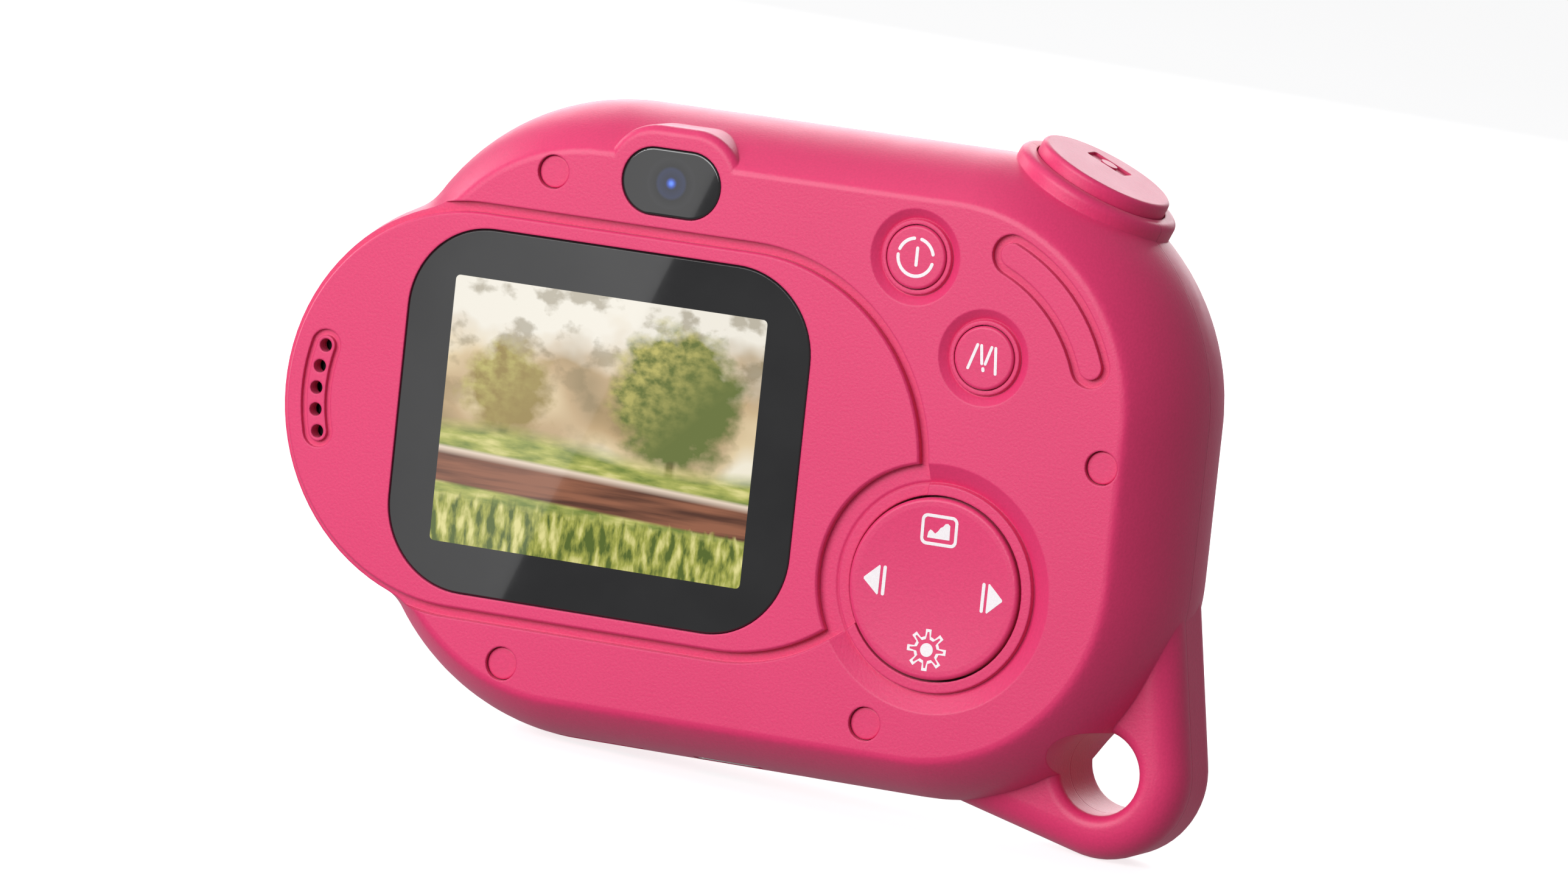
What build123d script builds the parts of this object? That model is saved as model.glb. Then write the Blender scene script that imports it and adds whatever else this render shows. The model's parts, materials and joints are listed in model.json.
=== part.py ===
from build123d import *
import os
from math import atan2, cos, hypot, pi, radians, sin, sqrt

# Kids instant-print camera, in millimetres.
# Working frame: the centre of the body, +X towards the lens end, +Y towards the screen, +Z up.
# place() moves each finished piece so that the origin is at the bottom centre of the whole camera.

# ---- body ----
BODY_W = 110.0
BODY_H = 81.3
CORNER_R = 31.0
REAR_Y = 16.1
FRONT_Y = -16.1
PARTING_Y = 2.1
REAR_INSET = 5.8
FRONT_INSET = 7.4
EDGE_R = 1.5
WALL = 2.0
CORNER_X = BODY_W / 2 - CORNER_R
CORNER_Z = BODY_H / 2 - CORNER_R
BIG = 200.0

# ---- round lobe around the lens end, and the web that blends it into the body ----
LOBE_X = 39.1
LOBE_R = 26.8
LOBE_REAR_INSET = 1.4
LOBE_REAR_DEPTH = 8.0
LOBE_FRONT_INSET = 3.6
LOBE_FRONT_DEPTH = 14.0
LOBE_EDGE_R = 0.9
WEB_R = 9.0

# ---- lens and hood ----
LENS_X = 37.0
LENS_Y = -19.5
HOOD_R = 27.3
HOOD_H = 9.3
HOOD_POWER = 3.0
HOOD_WALL = 1.7
RIM_R = 25.9
TRIM_R = 24.0
TAB_R = 16.2
TAB_VALLEY_X = 11.0
TRIM_GROOVES = 7
TRIM_GROOVE_R0 = 18.2
TRIM_GROOVE_R1 = 23.2
TRIM_GROOVE_W = 0.34
RING_T = 2.4
DISC_DROP = 0.8
CHAMFER_OUT_R = 15.9
CHAMFER_IN_R = 13.3
DISC_R = 13.1
BARREL_R = 8.0
GLASS_R = 7.0

# ---- strap loop ----
LOOP_X = -46.9
LOOP_Z = -33.8
LOOP_R = 11.0
LOOP_HOLE_R = 5.3
LOOP_T = 13.3
LOOP_EDGE_R = 4.0
LOOP_HOLE_EDGE_R = 1.5

# ---- paper door and print slot ----
DOOR_X = 0.57
DOOR_Y = -12.5
DOOR_GAP = 0.15
NOTCH_X = -11.5
NOTCH_R = 14.0
NOTCH_Z = BODY_H / 2 + 8.6
SLOT_W = 1.0
SLOT_Z0 = -31.0
SLOT_Z1 = 27.0
CUTTER_Z0 = SLOT_Z0 + 0.3
CUTTER_Z1 = SLOT_Z1 - 0.3
CUTTER_PITCH = 0.96
CUTTER_W = 2.2
HINGE_X = -49.9
HINGE_BARREL_R = 1.3
HINGE_PIN_R = 0.6
HINGE_HALF = 9.0
HINGE_DOOR_HALF = 4.0

# ---- screen side ----
PANEL_X0 = 2.1
PANEL_R = 25.0
PANEL_T = 1.1
GROOVE_W = 1.3
SCREEN_X = 20.75
SCREEN_W = 55.3
SCREEN_H = 46.1
SCREEN_CORNER_R = 11.0
GLASS_T = 1.3
LCD_W = 46.0
LCD_H = 37.0
PILL_X = 14.25
PILL_Z = 32.0
PILL_W = 13.5
PILL_H = 8.5
BOSS_W = 19.0
BOSS_H = 14.0
SPEAKER_ARC_R = 20.9
SPEAKER_HOLE_R = 0.85
SPEAKER_STEP = 7.6

# ---- buttons ----
POWER_AT = (-19.4, 27.3)
MODE_AT = (-29.8, 16.2)
SMALL_CAP_R = 3.95
SMALL_COLLAR_R = 4.6
SMALL_MOAT_R = 6.0
SMALL_TRAVEL = 0.5
DPAD_AT = (-26.4, -13.05)
DPAD_R = 11.3
DPAD_HOLE_R = 11.6
DPAD_COLLAR_R = 12.9
DPAD_MOAT_R = 15.5
DPAD_PIVOT_Y = REAR_Y - 1.6
PAD_POINTS = [(8, 0), (-8, 0), (0, 8), (0, -8)]
BOARD_Y = 10.4
BOARD_T = 1.0
SWITCH_H = 0.8
SWITCH_GAP = 0.1
PAD_GAP = 0.45
SHUTTER_TILT = 23.5
SHUTTER_R = 8.8
SHUTTER_COLLAR_R = 10.8
SHUTTER_COLLAR_H = 31.2
SHUTTER_TOP = 33.0
SHUTTER_TRAVEL = 0.8
SHUTTER_FLOOR_H = 28.0
SHUTTER_STEM_H = 25.4
SHUTTER_MARK_AT = (1.2, -3.1)
SHUTTER_MARK_W = 5.6
SHUTTER_MARK_H = 3.0
SHUTTER_MARK_LENS_R = 1.1
SHUTTER_MARK_DEPTH = 0.35

# ---- arc-shaped grip mark in the corner ----
ARC_R = 21.2
ARC_START = 112.5
ARC_SWEEP = 47.3
ARC_ISLAND_W = 3.0
ARC_GROOVE_W = 1.1

# ---- screws ----
SCREWS = [(30.4, 31.35), (30.6, -30.95), (-19.3, -30.95), (-46.8, 4.95)]
PLUG_R = 2.05
PLUG_RECESS = 0.5
PLUG_T = 1.5
POST_R = 2.7
SCREW_R = 1.1
SCREW_HEAD_R = 2.0
HEAD_SEAT_Y = 8.0
SCREW_TIP_Y = -6.0

# ---- charging socket and card slot in the underside, as (x, width, height) at one depth ----
PORT_Y = 6.4
PORTS = [(2.0, 9.2, 3.4), (20.0, 12.0, 1.6)]
SHIELD_T = 0.35

# ---- printer ----
ROLL_X = -31.3
ROLL_Y = -2.4
ROLL_R = 9.2
PAPER_W = 57.0
PAPER_Z = (SLOT_Z0 + SLOT_Z1) / 2
PLATEN_X = -4.6
PLATEN_Y = -9.2
PLATEN_R = 3.9
SHAFT_R = 1.5
PLATEN_EAR_T = 1.0
PLATEN_EAR_Z = (PAPER_Z - PAPER_W / 2 - 1.5, PAPER_Z + PAPER_W / 2 + 0.5)
GEAR_MODULE = 0.5
PLATEN_TEETH = 16
IDLER_TEETH = 24
PINION_TEETH = 10
GEAR_Z = 28.4
GEAR_T = 2.2
PINION_ANGLE = 10.0
MOTOR_R = 5.2
IDLER_X = PLATEN_X
IDLER_Y = PLATEN_Y + GEAR_MODULE * (PLATEN_TEETH + IDLER_TEETH) / 2
PINION_SPAN = GEAR_MODULE * (IDLER_TEETH + PINION_TEETH) / 2
PINION_X = IDLER_X + PINION_SPAN * cos(radians(PINION_ANGLE))
PINION_Y = IDLER_Y + PINION_SPAN * sin(radians(PINION_ANGLE))
CHASSIS_Z0 = GEAR_Z - 1.3
CHASSIS_Z1 = GEAR_Z - 0.3

# The bottom centre of the camera's bounding box, in the working frame.
HOOD_TIP_Y = FRONT_Y - HOOD_H * (1 - (TAB_R / HOOD_R) ** HOOD_POWER) ** (1 / HOOD_POWER)
ORIGIN = (
    (LOBE_X + LOBE_R + LOOP_X - LOOP_R) / 2,
    (REAR_Y + HOOD_TIP_Y) / 2,
    LOOP_Z - LOOP_R,
)

NODES = {}


def place(name, solid):
    NODES[name] = Pos(-ORIGIN[0], -ORIGIN[1], -ORIGIN[2]) * solid


# ---------------------------------------------------------------- helpers
def prism(sketch, y_rear, y_front):
    """A sketch drawn with X right and Z up, given depth from y_rear forward to y_front."""
    return extrude(Plane.XZ.offset(-y_rear) * sketch, amount=y_rear - y_front)


def disc(x, z, r, y_rear, y_front):
    return prism(Pos(x, z) * Circle(r), y_rear, y_front)


def ring(x, z, r_out, r_in, y_rear, y_front):
    return disc(x, z, r_out, y_rear, y_front) - disc(x, z, r_in, y_rear + 1, y_front - 1)


def block(x0, x1, y0, y1, z0, z1):
    return Pos((x0 + x1) / 2, (y0 + y1) / 2, (z0 + z1) / 2) * Box(x1 - x0, y1 - y0, z1 - z0)


def rod(x, y, r, z0, z1):
    """A cylinder along Z."""
    return Pos(x, y, (z0 + z1) / 2) * Cylinder(r, z1 - z0)


def turned(points, x, z):
    """A solid of revolution about the Y axis through (x, z), from (radius, y) points."""
    face = make_face(Polyline(*[(r, y) for r, y in points], close=True))
    return Pos(x, 0, z) * revolve(face, Axis.Y)


def stadium(x0, x1, r, z=0.0):
    """A flat shape with round ends centred at x0 and x1."""
    return Pos((x0 + x1) / 2, z) * SlotCenterToCenter(x1 - x0, 2 * r)


def crown(s, depth, inset, edge):
    """How far a bulging side has come in at s of its depth, with a small round at the far edge."""
    if s <= 0:
        return 0.0
    r = (inset**2 + depth**2) / (2 * inset)
    edge_s = depth - edge
    edge_in = sqrt((r - edge) ** 2 - edge_s**2)
    if s <= r * edge_s / (r - edge):
        return r - sqrt(r * r - s * s)
    return r - edge_in - sqrt(max(edge**2 - (s - edge_s) ** 2, 0.0))


def body_inset(y):
    if y >= PARTING_Y:
        return crown(y - PARTING_Y, REAR_Y - PARTING_Y, REAR_INSET, EDGE_R)
    return crown(PARTING_Y - y, PARTING_Y - FRONT_Y, FRONT_INSET, EDGE_R)


def lobe_inset(y):
    if y >= PARTING_Y:
        return crown(y - REAR_Y + LOBE_REAR_DEPTH, LOBE_REAR_DEPTH, LOBE_REAR_INSET, LOBE_EDGE_R)
    return crown(FRONT_Y + LOBE_FRONT_DEPTH - y, LOBE_FRONT_DEPTH, LOBE_FRONT_INSET, EDGE_R)


def outline(y, wall=0.0):
    """The camera's outline at depth y, moved inwards by wall: rounded body, lobe and blending webs."""
    shrink = body_inset(y) + wall
    left = BODY_W / 2 - shrink
    top = BODY_H / 2 - shrink
    corner = CORNER_R - shrink
    lobe = LOBE_R - lobe_inset(y) - wall
    web = WEB_R + wall
    # centre of the web's concave arc, which touches the corner arc and the lobe arc
    span = hypot(LOBE_X - CORNER_X, CORNER_Z)
    to_corner = corner + web
    to_lobe = lobe + web
    along = (to_corner**2 - to_lobe**2 + span**2) / (2 * span)
    side = sqrt(to_corner**2 - along**2)
    ux = (LOBE_X - CORNER_X) / span
    uz = -CORNER_Z / span
    wx = CORNER_X + along * ux - side * uz
    wz = CORNER_Z + along * uz + side * ux
    a = (CORNER_X + (wx - CORNER_X) * corner / to_corner, CORNER_Z + (wz - CORNER_Z) * corner / to_corner)
    b = (LOBE_X + (wx - LOBE_X) * lobe / to_lobe, wz * lobe / to_lobe)
    mid_angle = (pi / 2 + atan2(a[1] - CORNER_Z, a[0] - CORNER_X)) / 2
    corner_mid = (CORNER_X + corner * cos(mid_angle), CORNER_Z + corner * sin(mid_angle))
    mx = (a[0] + b[0]) / 2 - wx
    mz = (a[1] + b[1]) / 2 - wz
    web_mid = (wx + mx / hypot(mx, mz) * web, wz + mz / hypot(mx, mz) * web)
    diagonal = corner * cos(pi / 4)

    def down(p):
        return (p[0], -p[1])

    edges = [
        Line((-CORNER_X, top), (CORNER_X, top)),
        ThreePointArc((CORNER_X, top), corner_mid, a),
        ThreePointArc(a, web_mid, b),
        ThreePointArc(b, (LOBE_X + lobe, 0), down(b)),
        ThreePointArc(down(b), down(web_mid), down(a)),
        ThreePointArc(down(a), down(corner_mid), (CORNER_X, -top)),
        Line((CORNER_X, -top), (-CORNER_X, -top)),
        ThreePointArc(
            (-CORNER_X, -top), (-CORNER_X - diagonal, -CORNER_Z - diagonal), (-left, -CORNER_Z)
        ),
        Line((-left, -CORNER_Z), (-left, CORNER_Z)),
        ThreePointArc((-left, CORNER_Z), (-CORNER_X - diagonal, CORNER_Z + diagonal), (-CORNER_X, top)),
    ]
    return make_face(Wire(edges))


def hull(levels, wall=0.0):
    return loft([Plane.XZ.offset(-y) * outline(y, wall) for y in levels])


def half(y_rear, y_front):
    return block(-BIG, BIG, y_front, y_rear, -BIG, BIG)


def pill(w, h, y_rear, y_front, z=PILL_Z):
    return prism(Pos(PILL_X, z) * SlotOverall(w, h), y_rear, y_front)


def along_shutter(solid):
    """Stands a solid built on +Z on the shutter's tilted axis, from the body's corner centre."""
    return Pos(-CORNER_X, 0, CORNER_Z) * Rot(0, -SHUTTER_TILT, 0) * solid


def shutter_cylinder(r, h0, h1):
    return along_shutter(Pos(0, 0, (h0 + h1) / 2) * Cylinder(r, h1 - h0))


# ---------------------------------------------------------------- hull with its outer features
EDGE_STEPS = (0.0, 0.06, 0.25, 0.55, 0.9, 1.25, 1.6, 2.1, 2.9, 4.0)
SIDE_LEVELS = [-9.6, -6.4, FRONT_Y + LOBE_FRONT_DEPTH, PARTING_Y, 5.2, REAR_Y - LOBE_REAR_DEPTH, 10.3]
OUTER_LEVELS = (
    [FRONT_Y + s for s in EDGE_STEPS] + SIDE_LEVELS + [REAR_Y - s for s in reversed(EDGE_STEPS)]
)
INNER_LEVELS = [FRONT_Y + WALL] + SIDE_LEVELS + [REAR_Y - WALL]


def hood_profile():
    """Half-section of the domed hood, as (radius, y): a power-law dome on a straight wall."""
    steps = 14
    pts = []
    for i in range(steps + 1):
        angle = pi / 2 * i / steps
        r = HOOD_R * cos(angle) ** (2 / HOOD_POWER)
        y = FRONT_Y - HOOD_H * sin(angle) ** (2 / HOOD_POWER)
        pts.append((r, y))
    return pts


def hood_dome():
    pts = hood_profile()
    skin = Spline(*pts, tangents=[(0, -1), (-1, 0)])
    base_y = FRONT_Y + 6
    wall_line = Line((HOOD_R, base_y), pts[0])
    floor = Line((0, base_y), (HOOD_R, base_y))
    axis = Line(pts[-1], (0, base_y))
    return Pos(LENS_X, 0, 0) * revolve(make_face(Wire([wall_line, skin, axis, floor])), Axis.Y)


def hood_opening(r_side, tab_r):
    """The hood's mouth: a circle with a wavy tab reaching in from the top and from the bottom."""
    valley = (TAB_VALLEY_X, sqrt(r_side**2 - TAB_VALLEY_X**2) * 0.985)
    shoulder = r_side * cos(radians(50))
    start = (r_side * sin(radians(50)), shoulder)
    flank = (TAB_VALLEY_X * 0.53, tab_r + (valley[1] - tab_r) * 0.38)

    def tab(sign):
        pts = [start, valley, flank, (0, tab_r)]
        full = pts + [(-x, z) for x, z in reversed(pts[:-1])]
        turn = (-cos(radians(50)), sin(radians(50)))
        tangents = [turn, (turn[0], -turn[1])]
        return Spline(
            *[(x, sign * z) for x, z in full], tangents=[(t[0], sign * t[1]) for t in tangents]
        )

    right = ThreePointArc((start[0], -start[1]), (r_side, 0), start)
    left = ThreePointArc((-start[0], start[1]), (-r_side, 0), (-start[0], -start[1]))
    return make_face(Wire([right, tab(1), left, tab(-1)]))


def strap_loop():
    body_side = (-BODY_W / 2 + 0.6, -12.0)
    body_under = (-27.0, -BODY_H / 2 + 0.5)
    web = make_face(
        Polyline(
            body_side,
            (LOOP_X - LOOP_R * cos(radians(8)), LOOP_Z + LOOP_R * sin(radians(8))),
            (LOOP_X, LOOP_Z),
            (LOOP_X + LOOP_R * sin(radians(12)), LOOP_Z - LOOP_R * cos(radians(12))),
            body_under,
            (-27.0, -15.0),
            close=True,
        )
    )
    plate = prism(web + Pos(LOOP_X, LOOP_Z) * Circle(LOOP_R), LOOP_T / 2, -LOOP_T / 2)
    return plate


def rounded_boss(y_flat, y_root, front):
    boss = pill(BOSS_W, BOSS_H, max(y_flat, y_root), min(y_flat, y_root))
    rim = boss.faces().sort_by(Axis.Y)[0 if front else -1].edges()
    return fillet(rim, 1.2)


def shutter_collar():
    collar = shutter_cylinder(SHUTTER_COLLAR_R, 20, SHUTTER_COLLAR_H)
    return fillet(collar.faces().sort_by(Axis.Z)[-1].edges(), 1.0)


def rounded_loop():
    loop = strap_loop()
    rims = [e for e in loop.edges() if abs(e.center().Y) > LOOP_T / 2 - 0.01]
    outer = [e for e in rims if e.center().X < LOOP_X + 6 or e.center().Z < -BODY_H / 2]
    loop = fillet(outer, LOOP_EDGE_R)
    loop -= disc(LOOP_X, LOOP_Z, LOOP_HOLE_R, LOOP_T, -LOOP_T)
    round_edges = loop.edges().filter_by(GeomType.CIRCLE)
    return fillet([e for e in round_edges if abs(e.radius - LOOP_HOLE_R) < 0.01], LOOP_HOLE_EDGE_R)


def lens_well():
    """The hollow behind the hood's mouth, from the dome's inner face down to the body cavity."""
    inner_r = HOOD_R - HOOD_WALL
    inner_h = HOOD_H - HOOD_WALL
    wall_r = TRIM_R + 0.15
    pts = []
    for i in range(9):
        r = wall_r * (8 - i) / 8
        pts.append((r, FRONT_Y - inner_h * (1 - (r / inner_r) ** HOOD_POWER) ** (1 / HOOD_POWER)))
    dome = Spline(*pts)
    back = FRONT_Y + 3
    sides = Polyline(pts[-1], (0, back), (wall_r, back), pts[0])
    return Pos(LENS_X, 0, 0) * revolve(make_face(Wire([dome] + sides.edges())), Axis.Y)


def hood_mouth():
    low = LENS_Y
    high = LENS_Y - 2.0
    flare = loft(
        [
            Plane.XZ.offset(-low) * hood_opening(TRIM_R + 0.15, TAB_R - 0.1),
            Plane.XZ.offset(-high) * hood_opening(RIM_R, TAB_R + 0.3),
        ],
        ruled=True,
    )
    return Pos(LENS_X, 0, 0) * (flare + prism(hood_opening(RIM_R, TAB_R + 0.3), high, high - 8))


def moat(at, gap_r, collar_r, moat_r, depth):
    """A sloping ring-shaped dip round a button, with a low collar left standing at the gap."""
    x, z = at
    collar_top = REAR_Y - depth * 0.45
    points = [
        (gap_r, REAR_Y + 1),
        (gap_r, collar_top),
        (collar_r, collar_top),
        (collar_r + 0.15, REAR_Y - depth),
        (moat_r, REAR_Y),
        (moat_r, REAR_Y + 1),
    ]
    return turned(points, x, z)


def arc_band(width, y_rear, y_front):
    """A round-ended band along an arc concentric with the body's corner."""
    outer = ARC_R + width / 2
    inner = ARC_R - width / 2

    def at(r, angle):
        return (-CORNER_X + r * cos(radians(angle)), CORNER_Z + r * sin(radians(angle)))

    edges = [
        CenterArc((-CORNER_X, CORNER_Z), outer, ARC_START, ARC_SWEEP),
        CenterArc((-CORNER_X, CORNER_Z), inner, ARC_START, ARC_SWEEP),
        Line(at(inner, ARC_START), at(outer, ARC_START)),
        Line(at(inner, ARC_START + ARC_SWEEP), at(outer, ARC_START + ARC_SWEEP)),
    ]
    band = make_face(Wire(edges))
    for angle in (ARC_START, ARC_START + ARC_SWEEP):
        band += Pos(*at(ARC_R, angle)) * Circle(width / 2)
    return prism(band, y_rear, y_front)


def speaker_points():
    for i in range(-2, 3):
        angle = radians(i * SPEAKER_STEP)
        yield (LOBE_X + SPEAKER_ARC_R * cos(angle), SPEAKER_ARC_R * sin(angle))


def speaker_band(half_width, reach, y_rear, y_front):
    """The banana-shaped band that the speaker holes sit in, about the lobe's centre."""
    outer = SPEAKER_ARC_R + half_width
    inner = SPEAKER_ARC_R - half_width
    ends = [(r * cos(radians(a)), r * sin(radians(a))) for r in (outer, inner) for a in (reach, -reach)]
    arcs = [ThreePointArc(ends[i], (r, 0), ends[i + 1]) for i, r in ((0, outer), (2, inner))]
    caps = [Line(ends[0], ends[2]), Line(ends[1], ends[3])]
    band = make_face(Wire(arcs + caps))
    for a in (reach, -reach):
        band += Pos(SPEAKER_ARC_R * cos(radians(a)), SPEAKER_ARC_R * sin(radians(a))) * Circle(half_width)
    return prism(Pos(LOBE_X, 0) * band, y_rear, y_front)


def finger_notch(r):
    return Pos(NOTCH_X, DOOR_Y - 0.5, NOTCH_Z) * Sphere(r)


def door_region(gap):
    """The space in front of the seam plane that the paper door fills, grown by a gap."""
    region = block(-BIG, DOOR_X + gap, -BIG, DOOR_Y + gap, -BIG, BIG)
    corner = [
        e
        for e in region.edges()
        if abs(e.center().X - DOOR_X - gap) < 0.01 and abs(e.center().Y - DOOR_Y - gap) < 0.01
    ]
    return fillet(corner, 3.0)


def paper_slot(y_rear):
    return block(DOOR_X - SLOT_W / 2, DOOR_X + SLOT_W / 2, -BIG, y_rear, SLOT_Z0, SLOT_Z1)


# ---------------------------------------------------------------- casing
def casing():
    """The hollow casing as one body, before it is parted into front shell, rear shell and door."""
    body = hull(OUTER_LEVELS)
    body += rounded_loop()
    body += rounded_boss(REAR_Y, 5.0, front=False)
    body += rounded_boss(FRONT_Y, -5.0, front=True)
    body += shutter_collar()
    body += hood_dome()
    body -= disc(LOOP_X, LOOP_Z, LOOP_HOLE_R, BIG, -BIG)

    cavity = hull(INNER_LEVELS, WALL)
    cavity -= disc(LOOP_X, LOOP_Z, LOOP_HOLE_R + 1.2, BIG, -BIG)
    cavity -= disc(*DPAD_AT, DPAD_MOAT_R + 1, REAR_Y, REAR_Y - 3.6)
    for at in (POWER_AT, MODE_AT):
        cavity -= disc(*at, SMALL_MOAT_R + 1, REAR_Y, REAR_Y - 3.6)
    cavity -= pill(PILL_W + 3, PILL_H + 3, REAR_Y, REAR_Y - 3.2)
    cavity -= pill(PILL_W + 3, PILL_H + 3, FRONT_Y + 3.2, FRONT_Y)
    cavity -= shutter_cylinder(SHUTTER_R + 1.8, SHUTTER_FLOOR_H - 1.8, BIG)
    cavity -= finger_notch(NOTCH_R + 1.6)
    for x, z in SCREWS:
        cavity -= disc(x, z, POST_R, BIG, -BIG)
    x, z = SCREWS[2]
    cavity -= block(x - 0.8, x + 0.8, DOOR_Y, REAR_Y, -BODY_H / 2, z)
    for port_x, port_w, port_h in PORTS:
        cavity -= block(port_x - port_w / 2 - 1.2, port_x + port_w / 2 + 1.2, PORT_Y - port_h / 2 - 1.2,
                        PORT_Y + port_h / 2 + 1.2, -BODY_H / 2, -BODY_H / 2 + 3.4)
    for port_x, port_w, port_h in PORTS:
        body -= block(port_x - port_w / 2, port_x + port_w / 2, PORT_Y - port_h / 2,
                      PORT_Y + port_h / 2, -BODY_H, -BODY_H / 2 + 8)
    body -= cavity
    body -= shutter_cylinder(SHUTTER_R + 0.2, SHUTTER_FLOOR_H, BIG)
    body -= shutter_cylinder(2.6, SHUTTER_FLOOR_H - 4, BIG)
    return body


def screw_bores():
    """Plug recess, head seat and shank hole at each screw."""
    bores = []
    for x, z in SCREWS:
        bores.append(disc(x, z, PLUG_R + 0.08, REAR_Y + 1, REAR_Y - PLUG_RECESS - PLUG_T))
        bores.append(disc(x, z, SCREW_HEAD_R + 0.1, REAR_Y - PLUG_RECESS - PLUG_T, HEAD_SEAT_Y))
        bores.append(disc(x, z, SCREW_R, HEAD_SEAT_Y, SCREW_TIP_Y - 1))
    return bores


def rear_shell(body):
    shell = body & half(BIG, PARTING_Y)
    groove = stadium(PANEL_X0, LOBE_X, PANEL_R + GROOVE_W)
    shell -= prism(groove, REAR_Y + 1, REAR_Y - PANEL_T)
    glass = Pos(SCREEN_X, 0) * RectangleRounded(SCREEN_W + 0.2, SCREEN_H + 0.2, SCREEN_CORNER_R)
    shell -= prism(glass, REAR_Y + 1, REAR_Y - GLASS_T)
    shell -= block(SCREEN_X - LCD_W / 2, SCREEN_X + LCD_W / 2, 0, REAR_Y, -LCD_H / 2, LCD_H / 2)
    shell -= pill(PILL_W + 0.1, PILL_H + 0.1, REAR_Y + 1, REAR_Y - GLASS_T)
    shell -= disc(PILL_X, PILL_Z, 3.6, REAR_Y, 5)
    shell -= moat(DPAD_AT, DPAD_HOLE_R, DPAD_COLLAR_R, DPAD_MOAT_R, 1.3)
    shell -= disc(*DPAD_AT, DPAD_HOLE_R, REAR_Y + 1, 10)
    for at in (POWER_AT, MODE_AT):
        shell -= moat(at, SMALL_CAP_R + 0.12, SMALL_COLLAR_R, SMALL_MOAT_R, 0.9)
        shell -= disc(*at, SMALL_CAP_R + 0.12, REAR_Y + 1, 10)
    arc = arc_band(ARC_ISLAND_W + 2 * ARC_GROOVE_W, REAR_Y + 1, REAR_Y - 0.7)
    shell -= arc - arc_band(ARC_ISLAND_W, REAR_Y + 2, REAR_Y - 1)
    for x, z in speaker_points():
        shell -= disc(x, z, SPEAKER_HOLE_R, REAR_Y, 10)
    for bore in screw_bores():
        shell -= bore
    return shell


def cutter_pocket():
    x = DOOR_X + SLOT_W / 2
    return block(x - 0.5, x + CUTTER_W, FRONT_Y + 0.5, FRONT_Y + 0.9, CUTTER_Z0, CUTTER_Z1)


def hinge_cut(z0, z1):
    return rod(HINGE_X, DOOR_Y, HINGE_BARREL_R + 0.25, z0, z1)


def front_shell(body):
    shell = body & half(PARTING_Y, -BIG)
    shell -= lens_well()
    shell -= hood_mouth()
    shell -= door_region(0) & block(-BIG, BIG, -BIG, DOOR_Y, -BIG, BIG)
    shell -= finger_notch(NOTCH_R)
    shell -= paper_slot(DOOR_Y + 2)
    shell -= cutter_pocket()
    shell -= pill(PILL_W + 0.1, PILL_H + 0.1, FRONT_Y + 1.2, FRONT_Y - 1)
    shell -= hinge_cut(-HINGE_DOOR_HALF - 0.15, HINGE_DOOR_HALF + 0.15)
    for sign in (1, -1):
        z0, z1 = sorted((sign * (HINGE_DOOR_HALF + 0.15), sign * HINGE_HALF))
        shell += rod(HINGE_X, DOOR_Y, HINGE_BARREL_R, z0, z1)
    shell -= rod(HINGE_X, DOOR_Y, HINGE_PIN_R, -HINGE_HALF + 0.6, HINGE_HALF - 0.6)
    for bore in screw_bores():
        shell -= bore
    return shell


def paper_door(body):
    door = body & door_region(-DOOR_GAP)
    door &= block(HINGE_X + DOOR_GAP, BIG, -BIG, DOOR_Y - DOOR_GAP, -BIG, BIG)
    door -= paper_slot(BIG)
    for sign in (1, -1):
        z0, z1 = sorted((sign * HINGE_DOOR_HALF, sign * (HINGE_HALF + 0.3)))
        door -= hinge_cut(z0, z1)
    door += rod(HINGE_X, DOOR_Y, HINGE_BARREL_R, -HINGE_DOOR_HALF, HINGE_DOOR_HALF)
    door -= rod(HINGE_X, DOOR_Y, HINGE_PIN_R + 0.05, -HINGE_DOOR_HALF - 1, HINGE_DOOR_HALF + 1)
    for z0 in PLATEN_EAR_Z:
        ear = block(PLATEN_X - 3.0, PLATEN_X + 3.0, -14.4, PLATEN_Y, z0, z0 + PLATEN_EAR_T)
        ear += rod(PLATEN_X, PLATEN_Y, 3.0, z0, z0 + PLATEN_EAR_T)
        door += ear - rod(PLATEN_X, PLATEN_Y, SHAFT_R + 0.05, z0 - 1, z0 + PLATEN_EAR_T + 1)
    return door


# ---------------------------------------------------------------- screen side pieces
def screen_panel():
    plate = stadium(PANEL_X0, LOBE_X, PANEL_R)
    plate -= Pos(*DPAD_AT) * Circle(DPAD_MOAT_R)
    plate -= Pos(SCREEN_X, 0) * RectangleRounded(SCREEN_W + 0.2, SCREEN_H + 0.2, SCREEN_CORNER_R)
    panel = prism(plate, REAR_Y, REAR_Y - PANEL_T)
    panel = chamfer(panel.faces().sort_by(Axis.Y)[-1].outer_wire().edges(), 0.25)
    panel -= speaker_band(2.05, 7.6 * 2, REAR_Y + 1, REAR_Y - 0.5) - speaker_band(
        1.25, 7.6 * 2, REAR_Y + 2, REAR_Y - 1
    )
    for x, z in speaker_points():
        panel -= disc(x, z, SPEAKER_HOLE_R, REAR_Y + 1, REAR_Y - 2)
    return panel


def screen_glass():
    sheet = Pos(SCREEN_X, 0) * RectangleRounded(SCREEN_W, SCREEN_H, SCREEN_CORNER_R - 0.1)
    glass = prism(sheet, REAR_Y, REAR_Y - GLASS_T)
    return chamfer(glass.faces().sort_by(Axis.Y)[-1].edges(), 0.2)


def lcd_panel():
    y1 = REAR_Y - GLASS_T
    module = prism(Pos(SCREEN_X, 0) * Rectangle(LCD_W - 0.6, LCD_H - 0.6), y1, y1 - 2.6)
    flex = block(SCREEN_X - 9, SCREEN_X + 9, y1 - 3.6, y1 - 2.6, -LCD_H / 2 + 1, -LCD_H / 2 + 9)
    return module + flex


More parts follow.
